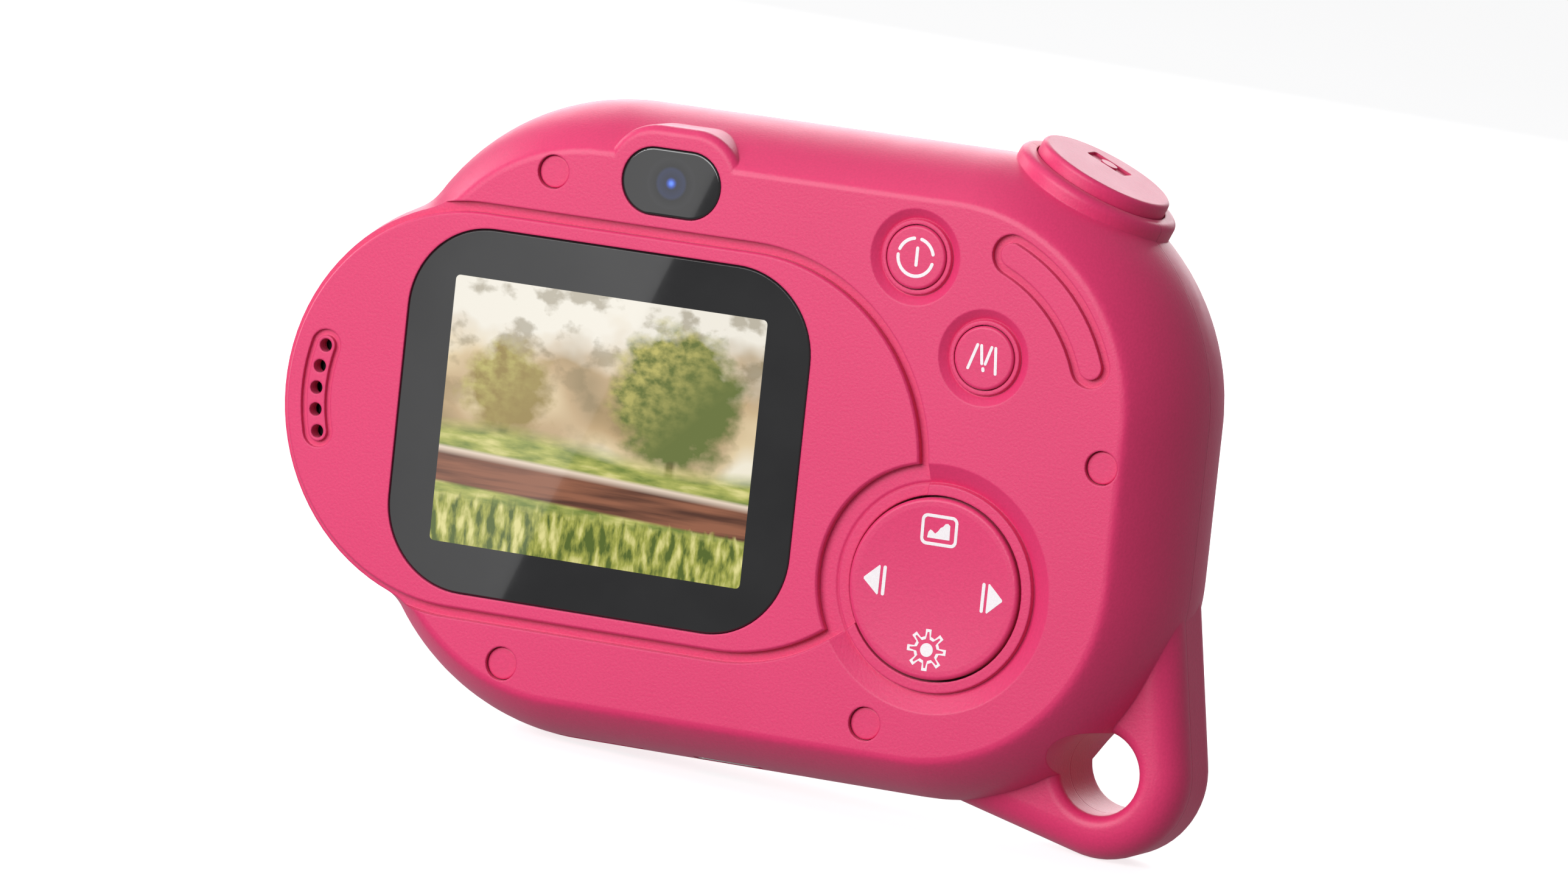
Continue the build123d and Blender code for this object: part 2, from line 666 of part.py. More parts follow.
def pill_pane(y_face, thickness, rear):
    y_back = y_face - thickness if rear else y_face + thickness
    pane = pill(PILL_W, PILL_H, max(y_face, y_back), min(y_face, y_back))
    rim = pane.faces().sort_by(Axis.Y)[-1 if rear else 0].edges()
    return fillet(rim, 0.35)


def rear_camera_module():
    base = prism(Pos(PILL_X, PILL_Z) * Rectangle(7.0, 7.0), 10.4, 7.6)
    return base + disc(PILL_X, PILL_Z, 3.2, REAR_Y - GLASS_T - 0.2, 10.4)


def speaker_unit():
    can = prism(Pos(56.2, 0) * RectangleRounded(9.0, 20.0, 4.0), 13.4, 10.4)
    return can + prism(Pos(56.2, 0) * RectangleRounded(6.5, 16.0, 3.0), 10.4, 9.2)


# ---------------------------------------------------------------- lens pieces
def lens_trim_ring():
    """Outer lens ring: a flat face with seven turned grooves that narrow towards the rim."""
    ring_body = ring(LENS_X, 0, TRIM_R, CHAMFER_OUT_R + 0.05, LENS_Y + RING_T, LENS_Y)
    for i in range(TRIM_GROOVES):
        r = TRIM_GROOVE_R0 + i * (TRIM_GROOVE_R1 - TRIM_GROOVE_R0) / (TRIM_GROOVES - 1)
        half_w = TRIM_GROOVE_W / 2
        ring_body -= turned(
            [(r - half_w, LENS_Y - 1), (r - half_w, LENS_Y + 0.5), (r + half_w, LENS_Y + 0.5),
             (r + half_w, LENS_Y - 1)],
            LENS_X,
            0,
        )
    return ring_body


def lens_chamfer_ring():
    return turned(
        [
            (CHAMFER_OUT_R, LENS_Y + RING_T),
            (CHAMFER_OUT_R, LENS_Y),
            (CHAMFER_OUT_R - 0.2, LENS_Y),
            (CHAMFER_IN_R + 0.05, LENS_Y + DISC_DROP),
            (CHAMFER_IN_R + 0.05, LENS_Y + RING_T),
        ],
        LENS_X,
        0,
    )


def lens_inner_disc():
    y = LENS_Y + DISC_DROP
    return ring(LENS_X, 0, DISC_R, BARREL_R + 0.02, LENS_Y + RING_T, y)


def lens_barrel():
    """Stepped tube that carries the glass, with a flange seated behind the rings."""
    y = LENS_Y + DISC_DROP
    return turned(
        [
            (BARREL_R, y - 0.1),
            (GLASS_R + 0.35, y - 0.1),
            (GLASS_R + 0.05, y + 0.5),
            (GLASS_R + 0.05, y + 2.2),
            (5.2, y + 2.2),
            (4.6, y + 4.2),
            (4.6, y + 10.0),
            (6.4, y + 10.0),
            (6.4, y + 3.8),
            (TRIM_R, y + 3.8),
            (TRIM_R, LENS_Y + RING_T),
            (BARREL_R, LENS_Y + RING_T),
        ],
        LENS_X,
        0,
    )


def dome_lens(r, y_edge, bulge, thickness):
    """A round lens: spherical front bulging forward, flat back."""
    cap_r = (r * r + bulge * bulge) / (2 * bulge)
    ball = Pos(LENS_X, y_edge - bulge + cap_r, 0) * Sphere(cap_r)
    return disc(LENS_X, 0, r, y_edge + thickness, y_edge - bulge - 1) & ball


def image_sensor_board():
    y = LENS_Y + DISC_DROP + 10.0
    board = prism(Pos(LENS_X, 0) * Rectangle(18.0, 18.0), y + 1.2, y)
    return board + prism(Pos(LENS_X, 0) * Rectangle(6.4, 6.4), y, y - 0.7)


# ---------------------------------------------------------------- buttons
def small_button(at):
    cap = disc(*at, SMALL_CAP_R, REAR_Y - 0.15, REAR_Y - 3.2)
    cap = fillet(cap.faces().sort_by(Axis.Y)[-1].edges(), 0.35)
    cap += disc(*at, SMALL_CAP_R + 0.8, REAR_Y - 3.7, REAR_Y - 4.2)
    cap += disc(*at, SMALL_CAP_R - 0.6, REAR_Y - 3.1, REAR_Y - 3.8)
    return cap + disc(*at, 1.0, REAR_Y - 4.2, BOARD_Y + SWITCH_H + SWITCH_GAP + SMALL_TRAVEL)


def dpad():
    """Round four-way cap, slightly dished, with a blind seat for the pivot ball."""
    cap = disc(*DPAD_AT, DPAD_R, REAR_Y - 0.1, REAR_Y - 3.0)
    cap = fillet(cap.faces().sort_by(Axis.Y)[-1].edges(), 0.5)
    cap -= Pos(DPAD_AT[0], REAR_Y + 150 - 0.45, DPAD_AT[1]) * Sphere(150)
    x, z = DPAD_AT
    cap -= turned([(0, DPAD_PIVOT_Y), (1.3, DPAD_PIVOT_Y), (2.2, 0), (0, 0)], x, z)
    cap += ring(x, z, DPAD_R, DPAD_R - 1.0, REAR_Y - 2.9, BOARD_Y + 0.8)
    cap += ring(x, z, DPAD_R + 0.9, DPAD_R - 1.0, BOARD_Y + 1.2, BOARD_Y + 0.8)
    for dx, dz in PAD_POINTS:
        cap += disc(x + dx, z + dz, 0.9, REAR_Y - 2.9, BOARD_Y + SWITCH_H + PAD_GAP)
    return cap


def dpad_pivot():
    """Rocking post under the four-way cap: a short pin on a cross plate."""
    x, z = DPAD_AT
    post = disc(x, z, 0.9, DPAD_PIVOT_Y - 0.1, BOARD_Y + 1.2)
    return post + disc(x, z, 3.0, BOARD_Y + 2.0, BOARD_Y + 1.2)


def button_board():
    """Switch board under the keys, with one dome switch for each key position."""
    board = prism(Pos(-25.6, 2.0) * RectangleRounded(24.6, 58.0, 2.0), BOARD_Y, BOARD_Y - BOARD_T)
    x, z = DPAD_AT
    spots = [POWER_AT, MODE_AT] + [(x + dx, z + dz) for dx, dz in PAD_POINTS]
    for at in spots:
        board += disc(*at, 1.8, BOARD_Y + SWITCH_H, BOARD_Y)
    return board


def shutter_mark():
    """A little camera sunk into the cap: a rounded box whose lens is left standing."""
    outline = RectangleRounded(SHUTTER_MARK_W, SHUTTER_MARK_H, 0.4) - Circle(SHUTTER_MARK_LENS_R)
    return Pos(*SHUTTER_MARK_AT, SHUTTER_TOP - SHUTTER_MARK_DEPTH) * extrude(outline, amount=1.0)


def shutter_button():
    top = SHUTTER_TOP
    cap = Pos(0, 0, (top + SHUTTER_COLLAR_H - 2.2) / 2) * Cylinder(SHUTTER_R, top - SHUTTER_COLLAR_H + 2.2)
    cap = fillet(cap.faces().sort_by(Axis.Z)[-1].edges(), 0.6) - shutter_mark()
    stem_top = SHUTTER_FLOOR_H + 1.4
    cap += Pos(0, 0, (SHUTTER_STEM_H + stem_top) / 2) * Cylinder(2.2, stem_top - SHUTTER_STEM_H)
    return along_shutter(cap)


def shutter_switch():
    top = SHUTTER_STEM_H - SHUTTER_TRAVEL - 0.4
    body = Pos(0, 0, top - 1.0) * Box(6.0, 6.0, 2.0)
    return along_shutter(body + Pos(0, 0, top + 0.1) * Cylinder(1.6, 0.4))


# ---------------------------------------------------------------- printer
def gear(teeth, x, y, z0, z1, bore, phase):
    """Spur gear along Z, its first tooth at the phase angle in degrees."""
    pitch = GEAR_MODULE * teeth / 2
    root = pitch - 1.2 * GEAR_MODULE
    tip = pitch + 0.85 * GEAR_MODULE
    step = 2 * pi / teeth
    pts = []
    for i in range(teeth):
        mid = radians(phase) + i * step
        for r, share in ((root, -0.3), (tip, -0.11), (tip, 0.11), (root, 0.3)):
            pts.append((r * cos(mid + share * step), r * sin(mid + share * step)))
    blank = extrude(make_face(Polyline(*pts, close=True)), amount=z1 - z0)
    return Pos(x, y, z0) * (blank - Pos(0, 0, (z1 - z0) / 2) * Cylinder(bore, 2 * (z1 - z0)))


def printer_chassis():
    """Side plate and back plate that hold the motor, the idler's stub pin and the print head."""
    plate = block(-12.0, 12.5, -4.4, 8.2, CHASSIS_Z0, CHASSIS_Z1)
    plate -= rod(PINION_X, PINION_Y, 1.2, CHASSIS_Z0 - 1, CHASSIS_Z1 + 1)
    plate += rod(IDLER_X, IDLER_Y, 1.0, CHASSIS_Z0, GEAR_Z + GEAR_T + 0.4)
    back = block(9.4, 10.6, -12.4, 8.2, SLOT_Z0 + 1, CHASSIS_Z0)
    return plate + back


def print_head():
    ceramic = block(-0.35, 0.6, -12.2, -5.6, SLOT_Z0 + 1, CHASSIS_Z0 - 1.0)
    sink = block(0.6, 2.4, -12.2, -5.6, SLOT_Z0 + 2.5, CHASSIS_Z0 - 2.5)
    return ceramic + sink


def head_spring():
    """Bent leaf spring that presses the print head towards the platen."""
    leaf = Polyline((2.6, -10.4), (3.4, -10.4), (6.0, -6.6), (9.2, -6.6))
    section = make_face(offset(leaf, 0.15))
    return Pos(0, 0, -18.0) * extrude(section, amount=32.0)


def feed_motor():
    can = rod(PINION_X, PINION_Y, MOTOR_R, CHASSIS_Z0 - 13.0, CHASSIS_Z0)
    cap = rod(PINION_X, PINION_Y, 2.0, CHASSIS_Z0 - 14.0, CHASSIS_Z0 - 13.0)
    shaft = rod(PINION_X, PINION_Y, 0.5, CHASSIS_Z0, GEAR_Z + GEAR_T)
    return can + cap + shaft


def paper_cradle():
    """Trough behind the paper roll, open towards the door."""
    z0, z1 = PAPER_Z - PAPER_W / 2 + 3.0, PAPER_Z + PAPER_W / 2
    trough = rod(ROLL_X, ROLL_Y, ROLL_R + 1.5, z0, z1) - rod(ROLL_X, ROLL_Y, ROLL_R + 0.5, z0 - 1, z1 + 1)
    return trough & block(-BIG, BIG, ROLL_Y + 1.5, BIG, -BIG, BIG)


def cutter_blade():
    """Thin serrated strip along the lens side of the slot."""
    x = DOOR_X + SLOT_W / 2
    pts = [(x + CUTTER_W, CUTTER_Z1), (x + CUTTER_W, CUTTER_Z0)]
    teeth = int((CUTTER_Z1 - CUTTER_Z0) / CUTTER_PITCH)
    for i in range(teeth):
        pts.append((x + 0.1, CUTTER_Z0 + i * CUTTER_PITCH))
        pts.append((x - 0.45, CUTTER_Z0 + (i + 0.5) * CUTTER_PITCH))
    pts.append((x + 0.1, CUTTER_Z0 + teeth * CUTTER_PITCH))
    return prism(make_face(Polyline(*pts, close=True)), FRONT_Y + 0.9, FRONT_Y + 0.5)


# ---------------------------------------------------------------- boards and power
def main_board():
    board = prism(Pos(24.0, -1.0) * RectangleRounded(40.0, 50.0, 2.0), 9.6, 8.6)
    for x, z, w, h in ((20.0, 8.0, 12.0, 12.0), (34.0, 10.0, 8.0, 6.0), (30.0, -10.0, 7.0, 5.0)):
        board += prism(Pos(x, z) * Rectangle(w, h), 10.7, 9.6)
    return board


def battery():
    cell = prism(Pos(36.0, 0) * RectangleRounded(30.0, 42.0, 1.5), 7.0, 1.6)
    return fillet(cell.edges().filter_by(Axis.X), 1.2)


def usb_socket():
    x, w, h = PORTS[0]
    z0 = -BODY_H / 2 + 0.8
    half_w = w / 2 - 0.1
    half_h = h / 2 - 0.1
    outer = block(x - half_w, x + half_w, PORT_Y - half_h, PORT_Y + half_h, z0, z0 + 7.2)
    outer = fillet(outer.edges().filter_by(Axis.Z), 1.4)
    half_w -= SHIELD_T
    half_h -= SHIELD_T
    hollow = block(x - half_w, x + half_w, PORT_Y - half_h, PORT_Y + half_h, z0 - 1, z0 + 6)
    hollow = fillet(hollow.edges().filter_by(Axis.Z), 1.1)
    return (outer - hollow) + block(x - 3.3, x + 3.3, PORT_Y - 0.35, PORT_Y + 0.35, z0 + 1, z0 + 6.2)


def card_socket():
    x, w, h = PORTS[1]
    z0 = -BODY_H / 2 + 3.6
    case = block(x - 7.5, x + 7.5, PORT_Y - 0.9, PORT_Y + 1.0, z0, z0 + 10)
    return case - block(x - w / 2 + 0.3, x + w / 2 - 0.3, PORT_Y - 0.5, PORT_Y + 0.5, z0 - 1, z0 + 8.5)


def case_screws():
    group = []
    for x, z in SCREWS:
        head = disc(x, z, SCREW_HEAD_R, HEAD_SEAT_Y + 1.5, HEAD_SEAT_Y)
        head -= block(x - 1.2, x + 1.2, HEAD_SEAT_Y + 0.8, BIG, z - 0.25, z + 0.25)
        head -= block(x - 0.25, x + 0.25, HEAD_SEAT_Y + 0.8, BIG, z - 1.2, z + 1.2)
        group.append(head + disc(x, z, SCREW_R, HEAD_SEAT_Y, SCREW_TIP_Y))
    return group[0] + group[1:]


def screw_plugs():
    y1 = REAR_Y - PLUG_RECESS
    plugs = []
    for x, z in SCREWS:
        plug = disc(x, z, PLUG_R, y1, y1 - PLUG_T)
        plugs.append(fillet(plug.faces().sort_by(Axis.Y)[-1].edges(), 0.2))
    return plugs[0] + plugs[1:]


def build():
    body = casing()
    place("front_shell", front_shell(body))
    place("rear_shell", rear_shell(body))
    place("paper_door", paper_door(body))
    place("door_hinge_pin", rod(HINGE_X, DOOR_Y, HINGE_PIN_R, -HINGE_HALF + 0.6, HINGE_HALF - 0.6))

    place("screen_panel", screen_panel())
    place("screen_glass", screen_glass())
    place("lcd_panel", lcd_panel())
    place("rear_camera_window", pill_pane(REAR_Y, GLASS_T, rear=True))
    place("rear_camera_module", rear_camera_module())
    place("front_mirror", pill_pane(FRONT_Y, 1.2, rear=False))
    place("speaker", speaker_unit())

    place("lens_trim_ring", lens_trim_ring())
    place("lens_chamfer_ring", lens_chamfer_ring())
    place("lens_inner_disc", lens_inner_disc())
    place("lens_barrel", lens_barrel())
    place("front_lens", dome_lens(GLASS_R, LENS_Y + DISC_DROP + 0.5, 1.3, 1.2))
    place("inner_lens", dome_lens(4.4, LENS_Y + DISC_DROP + 5.4, 0.9, 1.2))
    place("image_sensor_board", image_sensor_board())

    place("power_button", small_button(POWER_AT))
    place("mode_button", small_button(MODE_AT))
    place("four_way_pad", dpad())
    place("pad_pivot", dpad_pivot())
    place("button_board", button_board())
    place("shutter_button", shutter_button())
    place("shutter_switch", shutter_switch())

    place("main_board", main_board())
    place("battery", battery())
    place("usb_socket", usb_socket())
    place("card_socket", card_socket())
    place("case_screws", case_screws())
    place("screw_plugs", screw_plugs())

    roll_z0, roll_z1 = PAPER_Z - PAPER_W / 2, PAPER_Z + PAPER_W / 2
    core = rod(ROLL_X, ROLL_Y, 4.0, roll_z0, roll_z1) - rod(ROLL_X, ROLL_Y, 3.0, roll_z0 - 1, roll_z1 + 1)
    place("paper_core", core)
    place("paper_roll", rod(ROLL_X, ROLL_Y, ROLL_R, roll_z0, roll_z1) - rod(ROLL_X, ROLL_Y, 4.0, -BIG, BIG))
    place("paper_cradle", paper_cradle())
    shaft = rod(PLATEN_X, PLATEN_Y, SHAFT_R, PLATEN_EAR_Z[0] - 0.6, GEAR_Z + GEAR_T + 0.3)
    place("platen_shaft", shaft)
    rubber = rod(PLATEN_X, PLATEN_Y, PLATEN_R, roll_z0, roll_z1)
    place("platen_roller", rubber - rod(PLATEN_X, PLATEN_Y, SHAFT_R, -BIG, BIG))
    gear_z1 = GEAR_Z + GEAR_T
    place("platen_gear", gear(PLATEN_TEETH, PLATEN_X, PLATEN_Y, GEAR_Z, gear_z1, SHAFT_R, 90.0))
    idler_phase = -90.0 + 180.0 / IDLER_TEETH
    place("idler_gear", gear(IDLER_TEETH, IDLER_X, IDLER_Y, GEAR_Z, gear_z1, 1.05, idler_phase))
    # A gap of the idler's has to face the pinion tooth that points back at it.
    step = 360.0 / IDLER_TEETH
    offset_in_step = ((PINION_ANGLE - idler_phase) / step) % 1.0
    pinion_phase = PINION_ANGLE + 180.0 + (0.5 - offset_in_step) * 360.0 / PINION_TEETH * -1.0
    place("motor_pinion", gear(PINION_TEETH, PINION_X, PINION_Y, GEAR_Z, gear_z1, 0.55, pinion_phase))
    place("feed_motor", feed_motor())
    place("printer_chassis", printer_chassis())
    place("print_head", print_head())
    place("head_spring", head_spring())
    place("cutter_blade", cutter_blade())


def main():
    build()
    os.makedirs("parts", exist_ok=True)
    for name, solid in NODES.items():
        export_step(solid, f"parts/{name}.step")


if __name__ == "__main__":
    main()
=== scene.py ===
import json
from math import cos, pi, radians, sin, sqrt

import bmesh
import bpy
from mathutils import Matrix, Vector


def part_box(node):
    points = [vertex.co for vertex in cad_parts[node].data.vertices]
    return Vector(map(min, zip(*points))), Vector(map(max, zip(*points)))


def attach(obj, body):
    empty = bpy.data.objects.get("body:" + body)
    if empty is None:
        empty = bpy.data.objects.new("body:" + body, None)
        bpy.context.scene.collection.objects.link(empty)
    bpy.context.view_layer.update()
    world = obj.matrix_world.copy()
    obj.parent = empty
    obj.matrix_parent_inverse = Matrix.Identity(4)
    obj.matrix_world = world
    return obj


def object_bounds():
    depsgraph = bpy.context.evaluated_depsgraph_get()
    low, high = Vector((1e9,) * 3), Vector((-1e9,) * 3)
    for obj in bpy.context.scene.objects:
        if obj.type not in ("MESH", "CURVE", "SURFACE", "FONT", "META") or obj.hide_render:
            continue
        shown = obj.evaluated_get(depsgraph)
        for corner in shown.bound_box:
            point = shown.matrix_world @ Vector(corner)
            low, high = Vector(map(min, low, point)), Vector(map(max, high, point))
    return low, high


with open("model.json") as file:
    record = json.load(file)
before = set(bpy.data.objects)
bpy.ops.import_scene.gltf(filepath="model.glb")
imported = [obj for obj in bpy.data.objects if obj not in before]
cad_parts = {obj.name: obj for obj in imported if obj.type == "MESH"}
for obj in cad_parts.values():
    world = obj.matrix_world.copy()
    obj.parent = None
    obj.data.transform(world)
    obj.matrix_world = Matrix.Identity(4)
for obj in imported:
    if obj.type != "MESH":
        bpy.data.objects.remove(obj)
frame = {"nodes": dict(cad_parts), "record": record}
CAD_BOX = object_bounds()

# Kids instant-print camera. Everything is in metres, +X towards the lens end, +Y towards the screen.
MM = 0.001


def middle(node):
    low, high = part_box(node)
    return (low + high) / 2


REAR_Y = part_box("screen_panel")[1].y
FRONT_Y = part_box("front_mirror")[0].y
LENS = middle("lens_trim_ring")
PAD = middle("four_way_pad")
POWER = middle("power_button")
MODE = middle("mode_button")
GLASS = middle("screen_glass")
PILL = middle("rear_camera_window")
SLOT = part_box("cutter_blade")
ROLL = middle("paper_roll")


# ---------------------------------------------------------------- materials
class Finish:
    """One procedural material: a Principled shader, with its nodes added by name."""

    def __init__(self, name, **sockets):
        self.material = bpy.data.materials.new(name)
        self.material.use_nodes = True
        self.tree = self.material.node_tree
        self.shader = self.tree.nodes["Principled BSDF"]
        for key, value in sockets.items():
            self.shader.inputs[key.replace("_", " ")].default_value = value

    def node(self, kind, inputs=None, **settings):
        n = self.tree.nodes.new("ShaderNode" + kind)
        for key, value in settings.items():
            setattr(n, key, value)
        for key, value in (inputs or {}).items():
            if isinstance(value, bpy.types.NodeSocket):
                self.tree.links.new(value, n.inputs[key])
            else:
                n.inputs[key].default_value = value
        return n

    def link(self, output, socket):
        self.tree.links.new(output, self.shader.inputs[socket])

    def place(self):
        return self.node("TexCoord").outputs["Object"]

    def math(self, operation, a, b=0.0):
        return self.node("Math", {0: a, 1: b}, operation=operation).outputs[0]

    def noise(self, size, detail=3.0, rough=0.5, vector=None):
        """Noise whose lumps are about size metres across."""
        inputs = {"Vector": vector or self.place(), "Scale": 1 / size, "Detail": detail, "Roughness": rough}
        return self.node("TexNoise", inputs).outputs["Fac"]

    def ramp(self, value, *stops, blend="LINEAR"):
        n = self.node("ValToRGB", {"Fac": value})
        n.color_ramp.interpolation = blend
        ramp = n.color_ramp.elements
        while len(ramp) < len(stops):
            ramp.new(0.5)
        for element, (position, colour) in zip(ramp, stops):
            element.position = position
            element.color = colour if len(colour) == 4 else (*colour, 1)
        return n.outputs["Color"]

    def mix(self, factor, a, b, blend="MIX"):
        n = self.node("Mix", data_type="RGBA", blend_type=blend)
        for socket, value in ((n.inputs[0], factor), (n.inputs[6], a), (n.inputs[7], b)):
            if isinstance(value, bpy.types.NodeSocket):
                self.tree.links.new(value, socket)
            else:
                socket.default_value = value
        return n.outputs[2]

    def remap(self, value, low, high):
        return self.node("MapRange", {"Value": value, "To Min": low, "To Max": high}).outputs[0]

    def bump(self, height, depth, strength=1.0, normal=None):
        inputs = {"Height": height, "Distance": depth, "Strength": strength}
        if normal is not None:
            inputs["Normal"] = normal
        return self.node("Bump", inputs).outputs["Normal"]

    def soft_edges(self, radius):
        return self.node("Bevel", {"Radius": radius}, samples=6).outputs["Normal"]

    def radius_from(self, centre, across=("X", "Z")):
        """Distance from an axis through centre, the axis being the one not named in across."""
        parts = self.node("SeparateXYZ", {"Vector": self.place()}).outputs
        squares = []
        for name in across:
            offset = self.math("SUBTRACT", parts[name], getattr(centre, name.lower()))
            squares.append(self.math("MULTIPLY", offset, offset))
        return self.math("SQRT", self.math("ADD", *squares))


PINK = (0.735, 0.034, 0.152, 1)
DEEP_PINK = (0.670, 0.026, 0.130, 1)


def moulded_pink(name, grain=1.0, edge=0.32 * MM):
    """Satin raspberry plastic with a fine spark-eroded grain and a soft bloom at grazing angles."""
    f = Finish(name, Roughness=0.42, IOR=1.48)
    f.shader.inputs["Sheen Weight"].default_value = 0.16
    f.shader.inputs["Sheen Roughness"].default_value = 0.45
    f.shader.inputs["Sheen Tint"].default_value = (1.0, 0.62, 0.78, 1)
    tone = f.noise(22 * MM, detail=2.0)
    fine = f.noise(0.34 * MM, detail=4.0, rough=0.62)
    colour = f.mix(f.remap(tone, 0.1, 0.9), PINK, DEEP_PINK)
    speck = f.remap(fine, 0.84, 1.14)
    f.link(f.mix(1.0, colour, speck, "MULTIPLY"), "Base Color")
    f.link(f.remap(f.noise(3.5 * MM), 0.39, 0.47), "Roughness")
    f.link(f.bump(fine, 0.030 * MM * grain, 1.0, f.soft_edges(edge)), "Normal")
    return f.material


def dark_plastic(name, colour, roughness, grain_depth=0.01 * MM, grain_size=0.3 * MM):
    f = Finish(name, IOR=1.5)
    fine = f.noise(grain_size, detail=3.0)
    shade = tuple(c * 1.35 for c in colour[:3]) + (1,)
    f.link(f.mix(f.noise(5 * MM), colour, shade), "Base Color")
    f.link(f.remap(fine, roughness * 0.88, roughness * 1.12), "Roughness")
    f.link(f.bump(fine, grain_depth, 1.0, f.soft_edges(0.12 * MM)), "Normal")
    return f.material


def turned_plastic(name, colour, roughness, pitch, depth):
    """Lens ring plastic: concentric turning marks about the lens axis."""
    f = Finish(name, IOR=1.5, Metallic=0.0)
    radius = f.radius_from(LENS)
    wobble = f.math("MULTIPLY", f.noise(2 * MM), 0.03 * MM)
    turns = f.math("MULTIPLY", f.math("ADD", radius, wobble), 2 * pi / pitch)
    marks = f.math("SINE", turns)
    fine = f.noise(0.22 * MM, detail=4.0)
    light = tuple(c * 1.25 for c in colour[:3]) + (1,)
    f.link(f.mix(fine, colour, light), "Base Color")
    f.link(f.remap(f.noise(1.2 * MM), roughness * 0.9, roughness * 1.1), "Roughness")
    grain = f.bump(fine, 0.010 * MM, 1.0, f.soft_edges(0.06 * MM))
    f.link(f.bump(marks, depth, 1.0, grain), "Normal")
    return f.material


def glossy_black(name, roughness=0.04):
    """Polished black acrylic with a faint unevenness."""
    f = Finish(name, IOR=1.5, Base_Color=(0.012, 0.012, 0.013, 1))
    f.shader.inputs["Coat Weight"].default_value = 0.6
    f.shader.inputs["Coat Roughness"].default_value = 0.02
    tint = f.ramp(f.noise(12 * MM), (0.3, (0.010, 0.010, 0.011)), (0.7, (0.017, 0.017, 0.018)))
    f.link(tint, "Base Color")
    f.link(f.remap(f.noise(2 * MM, detail=5.0), roughness * 0.7, roughness * 1.6), "Roughness")
    f.link(f.bump(f.noise(9 * MM), 0.006 * MM, 1.0, f.soft_edges(0.1 * MM)), "Normal")
    return f.material


def printed_ink(name, low, high):
    """Pad-printed ink: slightly grainy, matt."""
    f = Finish(name, IOR=1.45)
    fine = f.noise(0.16 * MM, detail=3.0)
    f.link(f.ramp(fine, (0.25, low), (0.75, high)), "Base Color")
    f.link(f.remap(fine, 0.42, 0.58), "Roughness")
    f.link(f.bump(fine, 0.008 * MM), "Normal")
    return f.material


def polished_metal(name, colour, roughness, brushed_along):
    """Plated metal with faint brush lines along one axis."""
    f = Finish(name, Metallic=1.0, Base_Color=colour)
    stretch = {"x": (0.04, 1, 1), "z": (1, 1, 0.04)}[brushed_along]
    vector = f.node("Mapping", {"Vector": f.place(), "Scale": stretch}).outputs["Vector"]
    lines = f.noise(0.2 * MM, detail=4.0, vector=vector)
    darker = tuple(c * 0.8 for c in colour[:3]) + (1,)
    f.link(f.mix(lines, darker, colour), "Base Color")
    f.link(f.remap(lines, roughness * 0.7, roughness * 1.3), "Roughness")
    f.link(f.bump(lines, 0.004 * MM, 1.0, f.soft_edges(0.08 * MM)), "Normal")
    return f.material


def mirror_finish(name):
    f = Finish(name, Metallic=1.0, Base_Color=(0.93, 0.93, 0.94, 1))
    f.link(f.remap(f.noise(2.5 * MM, detail=5.0), 0.012, 0.05), "Roughness")
    f.link(f.ramp(f.noise(9 * MM), (0.3, (0.90, 0.90, 0.92)), (0.7, (0.96, 0.96, 0.96))), "Base Color")
    f.link(f.bump(f.noise(6 * MM), 0.03 * MM, 1.0, f.soft_edges(0.15 * MM)), "Normal")
    return f.material


def coated_glass(name, film, film_ior, tint):
    """Lens glass with an anti-reflection coating whose reflections are coloured."""
    f = Finish(name, IOR=1.52, Base_Color=tint, Roughness=0.0)
    f.shader.inputs["Transmission Weight"].default_value = 1.0
    f.shader.inputs["Thin Film Thickness"].default_value = film
    f.shader.inputs["Thin Film IOR"].default_value = film_ior
    f.link(f.remap(f.noise(1.5 * MM, detail=4.0), 0.0, 0.02), "Roughness")
    return f.material


def circuit_board(name):
    f = Finish(name, IOR=1.5)
    cells = f.node("TexVoronoi", {"Vector": f.place(), "Scale": 1 / (2.2 * MM)}, feature="DISTANCE_TO_EDGE",
                   distance="EUCLIDEAN").outputs["Distance"]
    traces = f.ramp(cells, (0.05, (0.010, 0.085, 0.035)), (0.09, (0.006, 0.050, 0.022)))
    f.link(traces, "Base Color")
    f.link(f.remap(f.noise(1 * MM), 0.25, 0.4), "Roughness")
    f.link(f.bump(cells, 0.03 * MM), "Normal")
    return f.material


def thermal_paper(name):
    """White paper, with the edges of its turns showing on the roll's ends."""
    f = Finish(name, IOR=1.4)
    radius = f.radius_from(ROLL, ("X", "Y"))
    turns = f.math("SINE", f.math("MULTIPLY", radius, 2 * pi / (0.24 * MM)))
    fibres = f.noise(0.15 * MM, detail=5.0)
    shade = f.mix(f.remap(turns, 0.0, 0.35), (0.86, 0.86, 0.83, 1), (0.70, 0.70, 0.66, 1))
    f.link(f.mix(f.remap(fibres, 0.0, 0.3), shade, (0.78, 0.78, 0.75, 1)), "Base Color")
    f.link(f.remap(fibres, 0.55, 0.8), "Roughness")
    f.link(f.bump(fibres, 0.006 * MM), "Normal")
    return f.material


def soft_rubber(name):
    f = Finish(name, IOR=1.5)
    fine = f.noise(0.25 * MM, detail=5.0)
    f.link(f.ramp(fine, (0.3, (0.018, 0.018, 0.018)), (0.7, (0.035, 0.034, 0.034))), "Base Color")
    f.link(f.remap(fine, 0.6, 0.85), "Roughness")
    f.link(f.bump(fine, 0.02 * MM), "Normal")
    return f.material


